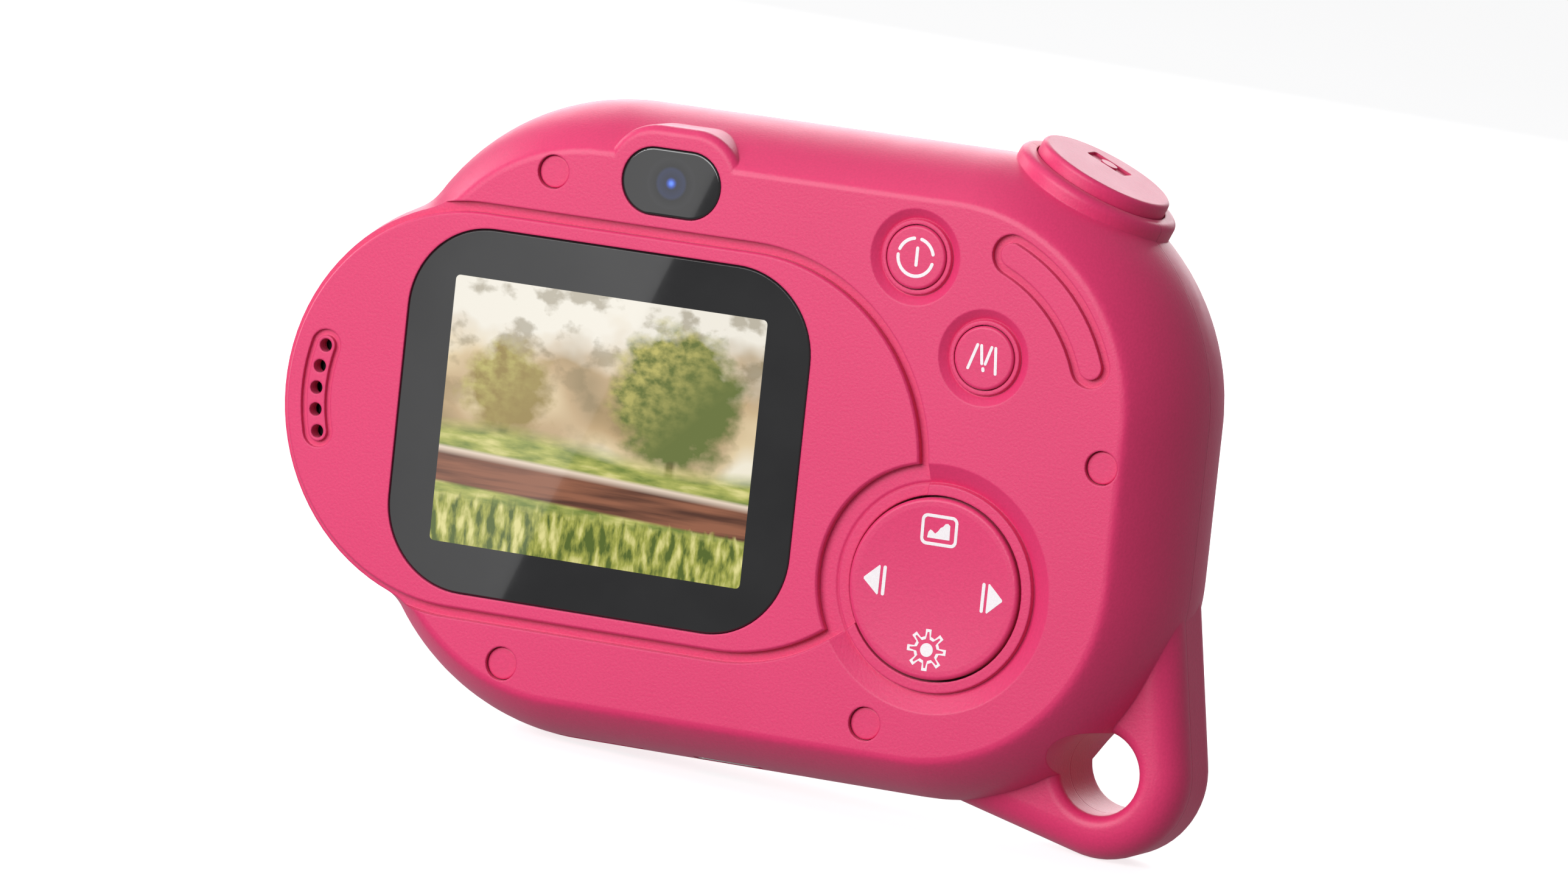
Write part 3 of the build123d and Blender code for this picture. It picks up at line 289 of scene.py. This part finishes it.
def natural_plastic(name):
    """Milky acetal, as on small gears."""
    f = Finish(name, IOR=1.48)
    fine = f.noise(0.4 * MM, detail=3.0)
    f.shader.inputs["Subsurface Weight"].default_value = 0.1
    f.link(f.ramp(fine, (0.3, (0.74, 0.73, 0.68)), (0.7, (0.80, 0.79, 0.75))), "Base Color")
    f.link(f.remap(fine, 0.32, 0.45), "Roughness")
    f.link(f.bump(fine, 0.01 * MM, 1.0, f.soft_edges(0.08 * MM)), "Normal")
    return f.material


def camera_window(name):
    """Black pane with the small second lens drawn on it, and a painted blue glint at its middle that glows
    by emission.
    """
    f = Finish(name, IOR=1.5)
    f.shader.inputs["Coat Weight"].default_value = 0.6
    f.shader.inputs["Coat Roughness"].default_value = 0.02
    radius = f.math("DIVIDE", f.radius_from(PILL), 6 * MM)
    # the lens drawn as dark rings; the blue at the middle is a painted glint
    lens_rings_and_painted_glint = f.ramp(
        radius,
        (0.00, (0.10, 0.22, 0.75)),
        (0.07, (0.02, 0.06, 0.30)),
        (0.12, (0.004, 0.008, 0.03)),
        (0.30, (0.010, 0.018, 0.06)),
        (0.36, (0.003, 0.003, 0.004)),
        (0.52, (0.014, 0.014, 0.016)),
        (0.57, (0.010, 0.010, 0.011)),
    )
    # painted glint: the blue middle of the lens glows through emission
    painted_glint = f.ramp(radius, (0.0, (0.05, 0.16, 0.9)), (0.08, (0.01, 0.03, 0.2)), (0.14, (0, 0, 0)))
    f.link(lens_rings_and_painted_glint, "Base Color")
    f.link(painted_glint, "Emission Color")
    f.shader.inputs["Emission Strength"].default_value = 0.7
    f.link(f.remap(f.noise(2 * MM), 0.03, 0.06), "Roughness")
    return f.material


def picture(name, centre, width, height):
    """The lit screen: a sunny garden with soft trees, a log rail and grass, all from formulas."""
    f = Finish(name, IOR=1.5, Roughness=0.08)
    f.shader.inputs["Coat Weight"].default_value = 0.5
    f.shader.inputs["Coat Roughness"].default_value = 0.02
    parts = f.node("SeparateXYZ", {"Vector": f.place()}).outputs
    across = f.math("DIVIDE", f.math("SUBTRACT", centre.x, parts["X"]), width)
    up = f.math("DIVIDE", f.math("SUBTRACT", parts["Z"], centre.z), height)
    at = f.node("CombineXYZ", {"X": across, "Y": up}).outputs["Vector"]

    def cloud(scale, detail, stretch=(1, 1, 1), move=0.0):
        vector = f.node("Mapping", {"Vector": at, "Scale": stretch, "Location": (move, move, 0)}).outputs[0]
        return f.node("TexNoise", {"Vector": vector, "Scale": scale, "Detail": detail}).outputs["Fac"]

    def step(value, edge, blur):
        inputs = {"Value": value, "From Min": edge - blur, "From Max": edge + blur}
        return f.node("MapRange", inputs).outputs[0]

    # far trees out of focus, under a bright sky
    far = f.ramp(cloud(3.0, 1.5), (0.30, (0.30, 0.22, 0.10)), (0.48, (0.62, 0.44, 0.24)),
                 (0.60, (0.85, 0.68, 0.42)), (0.72, (1.0, 0.93, 0.76)))
    ragged_sky = f.math("SUBTRACT", cloud(4.0, 3.0, move=2.0), 0.5)
    sky_edge = f.math("ADD", up, f.math("MULTIPLY", ragged_sky, 0.7))
    scene = f.mix(step(sky_edge, 0.30, 0.12), far, (1.0, 0.95, 0.84, 1))
    leaves = f.math("MULTIPLY", step(cloud(9.0, 5.0, move=5.0), 0.56, 0.05), step(up, 0.05, 0.25))
    scene = f.mix(f.math("MULTIPLY", leaves, 0.55), scene, (0.22, 0.17, 0.07, 1))
    # two round trees, each with its trunk: middle, radius and shaded colour
    trees = (
        (0.24, 0.16, 0.20, (0.16, 0.20, 0.05, 1)),
        (-0.30, 0.10, 0.13, (0.36, 0.26, 0.07, 1)),
    )
    for cx, cy, r, tone in trees:
        dx = f.math("SUBTRACT", across, cx)
        dy = f.math("MULTIPLY", f.math("SUBTRACT", up, cy), height / width)
        ragged = f.math("MULTIPLY", f.math("SUBTRACT", cloud(14.0, 4.0, move=cx * 9), 0.5), 0.16)
        away = f.math("SQRT", f.math("ADD", f.math("MULTIPLY", dx, dx), f.math("MULTIPLY", dy, dy)))
        crown = step(f.math("ADD", away, ragged), r, -0.03)
        trunk = f.math("MULTIPLY", step(f.math("ABSOLUTE", dx), 0.014, -0.006), step(up, cy, -0.02))
        scene = f.mix(trunk, scene, (0.13, 0.08, 0.04, 1))
        lit = f.mix(step(f.math("SUBTRACT", dy, dx), 0.03, 0.16), tone, (0.62, 0.56, 0.17, 1))
        scene = f.mix(crown, scene, f.mix(step(cloud(26.0, 4.0), 0.5, 0.15), lit, tone))
    # meadow
    hill = f.math("ADD", up, f.math("MULTIPLY", f.math("SINE", f.math("MULTIPLY", across, 5.0)), 0.03))
    meadow = f.ramp(cloud(8.0, 6.0, (1, 3, 1)), (0.35, (0.20, 0.27, 0.05)), (0.55, (0.50, 0.52, 0.13)),
                    (0.70, (0.82, 0.76, 0.30)))
    scene = f.mix(step(hill, -0.08, -0.03), scene, meadow)
    # log rail with grain along it, and grass in front
    rail = f.math("ADD", up, f.math("MULTIPLY", across, 0.05))
    grain = f.ramp(cloud(26.0, 6.0, (0.08, 1, 1)), (0.35, (0.10, 0.035, 0.02)), (0.6, (0.34, 0.13, 0.07)))
    shine = f.mix(step(rail, -0.185, 0.012), grain, (0.88, 0.72, 0.58, 1))
    band = f.math("MULTIPLY", step(rail, -0.165, -0.006), step(rail, -0.30, 0.006))
    scene = f.mix(band, scene, shine)
    blades = f.ramp(
        cloud(34.0, 6.0, (1, 0.25, 1), 3.0),
        (0.40, (0.10, 0.15, 0.02)),
        (0.52, (0.42, 0.44, 0.08)),
        (0.66, (0.86, 0.80, 0.32)),
    )
    lawn = f.math("ADD", up, f.math("MULTIPLY", cloud(40.0, 3.0, (1, 0.3, 1)), 0.10))
    scene = f.mix(step(lawn, -0.28, -0.015), scene, blades)
    f.link(scene, "Emission Color")
    f.shader.inputs["Emission Strength"].default_value = 0.80
    f.link(f.mix(0.92, scene, (0, 0, 0, 1)), "Base Color")
    f.link(f.remap(f.noise(2 * MM), 0.03, 0.06), "Roughness")
    return f.material


casing_pink = moulded_pink("casing_pink")
key_pink = moulded_pink("key_pink", grain=0.8, edge=0.2 * MM)
black_moulding = dark_plastic("black_moulding", (0.012, 0.012, 0.012, 1), 0.5)
ring_grey = turned_plastic("ring_grey", (0.105, 0.100, 0.100, 1), 0.36, 0.30 * MM, 0.004 * MM)
disc_grey = turned_plastic("disc_grey", (0.135, 0.130, 0.130, 1), 0.42, 0.10 * MM, 0.002 * MM)
gloss_ring = turned_plastic("gloss_ring", (0.012, 0.012, 0.013, 1), 0.12, 0.50 * MM, 0.002 * MM)
pane_black = glossy_black("pane_black")
steel = polished_metal("steel", (0.62, 0.62, 0.63, 1), 0.28, "z")
blade_metal = polished_metal("blade_metal", (0.74, 0.62, 0.66, 1), 0.32, "z")
bright_tin = polished_metal("bright_tin", (0.78, 0.78, 0.77, 1), 0.2, "z")
alloy = polished_metal("alloy", (0.70, 0.71, 0.72, 1), 0.38, "z")
pouch_foil = polished_metal("pouch_foil", (0.66, 0.68, 0.72, 1), 0.45, "x")
mirror = mirror_finish("mirror")
white_ink = printed_ink("white_ink", (0.80, 0.74, 0.77), (0.90, 0.86, 0.88))
board_green = circuit_board("board_green")
acetal = natural_plastic("acetal")

LOOKS = {
    casing_pink: ("front_shell", "rear_shell", "paper_door", "screen_panel"),
    key_pink: ("power_button", "mode_button", "four_way_pad", "shutter_button", "screw_plugs"),
    pane_black: ("screen_glass",),
    camera_window("window_black"): ("rear_camera_window",),
    mirror: ("front_mirror",),
    ring_grey: ("lens_trim_ring",),
    gloss_ring: ("lens_chamfer_ring",),
    disc_grey: ("lens_inner_disc",),
    coated_glass("front_coating", 360.0, 1.38, (0.90, 0.94, 1.0, 1)): ("front_lens",),
    coated_glass("inner_coating", 300.0, 1.85, (0.78, 0.70, 1.0, 1)): ("inner_lens",),
    black_moulding: (
        "lens_barrel", "lcd_panel", "rear_camera_module", "speaker", "pad_pivot", "shutter_switch",
        "paper_cradle", "printer_chassis",
    ),
    board_green: ("image_sensor_board", "button_board", "main_board"),
    steel: ("door_hinge_pin", "case_screws", "platen_shaft", "feed_motor", "head_spring"),
    blade_metal: ("cutter_blade",),
    bright_tin: ("usb_socket", "card_socket"),
    alloy: ("print_head",),
    pouch_foil: ("battery",),
    thermal_paper("thermal_paper"): ("paper_roll",),
    soft_rubber("soft_rubber"): ("platen_roller",),
    acetal: ("paper_core", "platen_gear", "idler_gear", "motor_pinion"),
}
for material, names in LOOKS.items():
    for name in names:
        if name in frame["nodes"]:
            frame["nodes"][name].data.materials.clear()
            frame["nodes"][name].data.materials.append(material)


# ---------------------------------------------------------------- flat marks and thin plates
def stroke(points, width, cap_steps=6):
    """Outline of a line of that width with round ends, from two or more points along it."""
    half = width / 2
    path = [Vector(p) for p in points]
    sides = []
    for i, p in enumerate(path):
        ahead = (path[min(i + 1, len(path) - 1)] - path[max(i - 1, 0)]).normalized()
        sides.append((p, Vector((-ahead.y, ahead.x)) * half))
    outline = [p + side for p, side in sides]
    for centre, side in (sides[-1], (sides[0][0], -sides[0][1])):
        for k in range(1, cap_steps):
            outline.append(centre + Matrix.Rotation(-pi * k / cap_steps, 2) @ side)
        if centre is sides[-1][0]:
            outline += [p - s for p, s in reversed(sides)]
    return outline


def arc(radius, start, end, steps=16, centre=(0, 0)):
    """Points along an arc, angles in degrees."""
    angles = [radians(start + (end - start) * i / steps) for i in range(steps + 1)]
    return [(centre[0] + radius * cos(a), centre[1] + radius * sin(a)) for a in angles]


def circle(radius, centre=(0, 0), steps=24):
    return arc(radius, 0, 360, steps, centre)[:-1]


def rounded_box(width, height, radius, centre=(0, 0)):
    points = []
    for sx, sy, start in ((1, 1, 0), (-1, 1, 90), (-1, -1, 180), (1, -1, 270)):
        corner = (centre[0] + sx * (width / 2 - radius), centre[1] + sy * (height / 2 - radius))
        points += arc(radius, start, start + 90, 5, corner)
    return points


def plate(name, outlines, low, high, to_frame, body, material, slot):
    """A flat piece from outlines in millimetres; to_frame maps (right, up, height) to a place."""
    curve = bpy.data.curves.new(name, "CURVE")
    curve.dimensions = "2D"
    curve.fill_mode = "BOTH"
    curve.extrude = (high - low) / 2
    for points in outlines:
        spline = curve.splines.new("POLY")
        spline.points.add(len(points) - 1)
        for target, (u, w) in zip(spline.points, points):
            target.co = (u, w, 0, 1)
        spline.use_cyclic_u = True
    drawn = bpy.data.objects.new(name + "_curve", curve)
    mesh = bpy.data.meshes.new_from_object(drawn)
    bpy.data.objects.remove(drawn)
    for v in mesh.vertices:
        v.co = to_frame(v.co.x * MM, v.co.y * MM, (v.co.z + (high + low) / 2) * MM)
    bm = bmesh.new()
    bm.from_mesh(mesh)
    bmesh.ops.remove_doubles(bm, verts=bm.verts, dist=1e-7)
    bmesh.ops.recalc_face_normals(bm, faces=bm.faces)
    bm.to_mesh(mesh)
    bm.free()
    mesh.materials.append(material)
    piece = bpy.data.objects.new(name, mesh)
    bpy.context.scene.collection.objects.link(piece)
    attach(piece, body)
    return piece


INK = (-0.02, 0.03)


def on_rear(centre, surface):
    """Maps marks seen from the screen side; surface(right, up) gives the face's y."""
    return lambda u, w, h: Vector((centre.x - u, surface(u, w) + h, centre.z + w))


def on_front(x, z, surface):
    return lambda u, w, h: Vector((x + u, surface - h, z + w))


def key_face(u, w):
    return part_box("power_button")[1].y


DISH_R = 150 * MM
DISH_DEPTH = 0.45 * MM


def pad_face(u, w):
    dish = REAR_Y + DISH_R - DISH_DEPTH - sqrt(DISH_R**2 - u * u - w * w)
    return min(dish, REAR_Y - 0.1 * MM)


# power: a ring in three parts with a bar
ring_r = 2.35
power_marks = [stroke(arc(ring_r, a, b), 0.42) for a, b in ((100, 160), (15, 76), (178, 345))]
power_marks.append(stroke([(0.15, -0.95), (0.15, 1.15)], 0.42))
plate("power_mark", power_marks, *INK, on_rear(POWER, key_face), "power_key", white_ink, "key_plastic")

# mode: slanted bars over a dot
mode_marks = [
    stroke([(-1.95, -1.45), (-0.95, 1.55)], 0.38),
    stroke([(-0.42, 1.50), (-0.16, -0.70)], 0.38),
    stroke([(0.95, 1.45), (0.30, -0.70)], 0.38),
    stroke([(1.48, 1.40), (1.75, -1.75)], 0.38),
    stroke([(0.06, -1.32), (0.10, -1.52)], 0.42),
]
plate("mode_mark", mode_marks, *INK, on_rear(MODE, key_face), "mode_key", white_ink, "key_plastic")

# four-way pad: picture, gear and two arrows
top = 7.3
hills = [
    (-1.55, top - 1.05), (-1.45, top - 0.35), (-1.2, top - 0.02), (-0.95, top - 0.1), (-0.55, top - 0.45),
    (-0.2, top - 0.15), (0.15, top + 0.38), (0.45, top + 0.52), (0.75, top + 0.92), (1.1, top + 1.0),
    (1.4, top + 0.75), (1.45, top - 1.05),
]
pad_marks = [rounded_box(4.9, 3.9, 0.8, (0, top)), rounded_box(4.1, 3.1, 0.45, (0, top)), hills]
gear_at = (0, -7.6)
teeth = 8


def gear_edge(shrink):
    """A gear outline with stubby round-ended teeth, drawn inwards by shrink."""
    points = []
    for i in range(teeth):
        middle_angle = 360 / teeth * i + 90
        root, tip = 1.72 - shrink, 2.62 - shrink
        half_root, half_tip = 9.5 - 3 * shrink, 8.0 - 14 * shrink
        for r, turn in ((root, -half_root - 3), (tip, -half_tip), (tip, half_tip), (root, half_root + 3)):
            a = radians(middle_angle + turn)
            points.append((gear_at[0] + r * cos(a), gear_at[1] + r * sin(a)))
    return points


pad_marks += [gear_edge(0.0), gear_edge(0.36), circle(0.85, gear_at)]
for side, up in ((-1, 0.1), (1, -0.1)):
    nose, back = side * 9.3, side * 7.25
    pad_marks.append([
        (nose, up - 0.12), (nose, up + 0.12), (back + side * 0.15, up + 1.85),
        (back, up + 1.75), (back, up - 1.75), (back + side * 0.15, up - 1.85),
    ])
    pad_marks.append(stroke([(side * 6.65, up - 1.65), (side * 6.65, up + 1.65)], 0.44))
plate("pad_marks", pad_marks, *INK, on_rear(PAD, pad_face), "pad", white_ink, "key_plastic")

# eject mark on the paper door, and the grey arrowhead beside the slot
slot_x = (SLOT[0].x + SLOT[1].x) / 2
body_mid_z = middle("screen_glass").z
arrowhead = [(-1.75, -0.15), (1.75, -0.15), (0.1, 1.75), (-0.1, 1.75)]
eject = [arrowhead, rounded_box(3.5, 0.42, 0.1, (0, -0.75))]
eject_place = on_front(slot_x - 12.4 * MM, body_mid_z + 28.0 * MM, FRONT_Y)
plate("eject_mark", eject, *INK, eject_place, "door", white_ink, "casing_plastic")
grey_ink = printed_ink("grey_ink", (0.30, 0.26, 0.28), (0.38, 0.34, 0.36))
wedge = [(-1.75, -1.75), (1.85, -2.65), (1.85, 2.65), (-1.75, 1.75)]
wedge_place = on_front(slot_x + 3.4 * MM, body_mid_z, FRONT_Y)
plate("slot_mark", [wedge], *INK, wedge_place, "housing", grey_ink, "casing_plastic")

# the lit picture under the screen glass
PICTURE_W, PICTURE_H = 42.9, 33.7
lit = picture("lit_picture", GLASS, PICTURE_W * MM, PICTURE_H * MM)
plate("screen_picture", [rounded_box(PICTURE_W, PICTURE_H, 0.6)], -0.02, 0.012,
      on_rear(GLASS, lambda u, w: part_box("screen_glass")[1].y), "housing", lit, "screen_glass")


# ---------------------------------------------------------------- stage
mounts = {m["name"]: m for m in frame["record"]["mounts"]}
LOOP = Vector(mounts["strap_loop"]["pos_m"])
LOOP_R = LOOP.z
REST_TILT = radians(3.32)
FLOOR_RADIUS = 8.0
FLOOR_GAP = 0.03 * MM
floor_normal = Vector((-sin(REST_TILT), 0, cos(REST_TILT)))


def make_floor():
    """A pale sheet that touches the strap loop and the underside, as a table does."""
    mesh = bpy.data.meshes.new("floor")
    bm = bmesh.new()
    bmesh.ops.create_circle(bm, cap_ends=True, segments=96, radius=FLOOR_RADIUS)
    bm.to_mesh(mesh)
    bm.free()
    f = Finish("floor_paper", Roughness=0.7)
    shade = f.ramp(f.noise(0.4, detail=2.0), (0.3, (0.41, 0.41, 0.42)), (0.7, (0.44, 0.44, 0.45)))
    f.link(shade, "Base Color")
    f.shader.inputs["Emission Color"].default_value = (1, 1, 1, 1)
    f.shader.inputs["Emission Strength"].default_value = 0.78
    mesh.materials.append(f.material)
    floor = bpy.data.objects.new("floor", mesh)
    bpy.context.scene.collection.objects.link(floor)
    floor.matrix_world = (
        Matrix.Translation(LOOP - floor_normal * (LOOP_R + FLOOR_GAP)) @ Matrix.Rotation(-REST_TILT, 4, "Y")
    )
    floor.visible_diffuse = False
    floor.visible_glossy = False


def lamp(name, direction, distance, size, power):
    """A softbox facing the middle of the object."""
    light = bpy.data.lights.new(name, "AREA")
    light.shape = "RECTANGLE"
    light.size, light.size_y = size
    light.energy = power
    o = bpy.data.objects.new(name, light)
    bpy.context.scene.collection.objects.link(o)
    away = Vector(direction).normalized()
    o.location = TARGET + away * distance
    o.rotation_mode = "QUATERNION"
    o.rotation_quaternion = away.to_track_quat("Z", "Y")
    o.visible_camera = False


TARGET = (CAD_BOX[0] + CAD_BOX[1]) / 2
make_floor()
lamp("key", (0.36, 1.0, 0.40), 1.0, (0.9, 0.6), 10.5)
lamp("top", (0.35, 0.15, 1.0), 0.9, (0.6, 0.5), 0.9)
lamp("edge", (1.0, -0.20, 0.25), 0.8, (0.25, 0.6), 2.2)
lamp("front", (0.30, -1.0, 0.42), 0.95, (0.8, 0.6), 5.6)

world = bpy.data.worlds.new("studio")
world.use_nodes = True
nodes = world.node_tree.nodes
background = nodes["Background"]
background.inputs["Color"].default_value = (1, 1, 1, 1)
seen = nodes.new("ShaderNodeLightPath").outputs["Is Camera Ray"]
level = nodes.new("ShaderNodeMapRange")
level.inputs["To Min"].default_value = 0.30
level.inputs["To Max"].default_value = 1.0
world.node_tree.links.new(seen, level.inputs["Value"])
world.node_tree.links.new(level.outputs[0], background.inputs["Strength"])
bpy.context.scene.world = world
bpy.context.scene.view_settings.view_transform = "Standard"

# the viewing angle: from the screen side, a little above, with the camera held at a slight roll
VIEW_RIGHT = Vector((-0.9115, -0.3971, 0.1039))
VIEW_UP = Vector((0.1427, -0.0600, 0.9885))
VIEW_BACK = VIEW_RIGHT.cross(VIEW_UP).normalized()
VIEW_DISTANCE = 1.3
FRAME_WIDTH = 0.1976
SENSOR = 36.0
lens = bpy.data.cameras.new("camera")
lens.sensor_width = SENSOR
lens.lens = SENSOR * VIEW_DISTANCE / FRAME_WIDTH
lens.clip_end = 30.0
camera = bpy.data.objects.new("camera", lens)
bpy.context.scene.collection.objects.link(camera)
turn = Matrix((VIEW_RIGHT, VIEW_UP, VIEW_BACK)).transposed().to_4x4()
aim = TARGET + VIEW_RIGHT * 2.0 * MM
camera.matrix_world = Matrix.Translation(aim + VIEW_BACK * VIEW_DISTANCE) @ turn
bpy.context.scene.camera = camera

# a softbox that shows only in reflections: its slanted edge crosses the screen glass and the rear window
CARD_DISTANCE = 0.15
CARD_FAR = 90.0
CARD_LOW, CARD_HIGH = -60.0, 70.0
EDGE_AT, EDGE_SLOPE = -5.0, 0.405


def make_card(strength):
    """Corners are (right, up) in millimetres from the glass's middle, where the card's image falls."""
    corners = [(-CARD_FAR, CARD_LOW), (EDGE_AT + EDGE_SLOPE * CARD_LOW, CARD_LOW),
               (EDGE_AT + EDGE_SLOPE * CARD_HIGH, CARD_HIGH), (-CARD_FAR, CARD_HIGH)]
    mirrored = Vector((-VIEW_BACK.x, VIEW_BACK.y, -VIEW_BACK.z))
    start = Vector((GLASS.x, REAR_Y, GLASS.z)) + mirrored * (CARD_DISTANCE / mirrored.y)
    mesh = bpy.data.meshes.new("card")
    mesh.from_pydata([start + Vector((-u * MM, 0, w * MM)) for u, w in corners], [], [(0, 1, 2, 3)])
    f = Finish("card_glow", Roughness=1.0, Base_Color=(0, 0, 0, 1))
    f.shader.inputs["Specular IOR Level"].default_value = 0.0
    across = f.math("SUBTRACT", f.node("SeparateXYZ", {"Vector": f.place()}).outputs["X"], start.x)
    share = f.math("DIVIDE", across, CARD_FAR * MM)
    f.link(f.ramp(share, (0.0, (1, 1, 1)), (0.6, (0.5, 0.5, 0.5))), "Emission Color")
    f.shader.inputs["Emission Strength"].default_value = strength
    mesh.materials.append(f.material)
    card = bpy.data.objects.new("card", mesh)
    bpy.context.scene.collection.objects.link(card)
    card.visible_camera = False
    card.visible_diffuse = False
    card.visible_shadow = False
    card.visible_transmission = False


make_card(1.4)
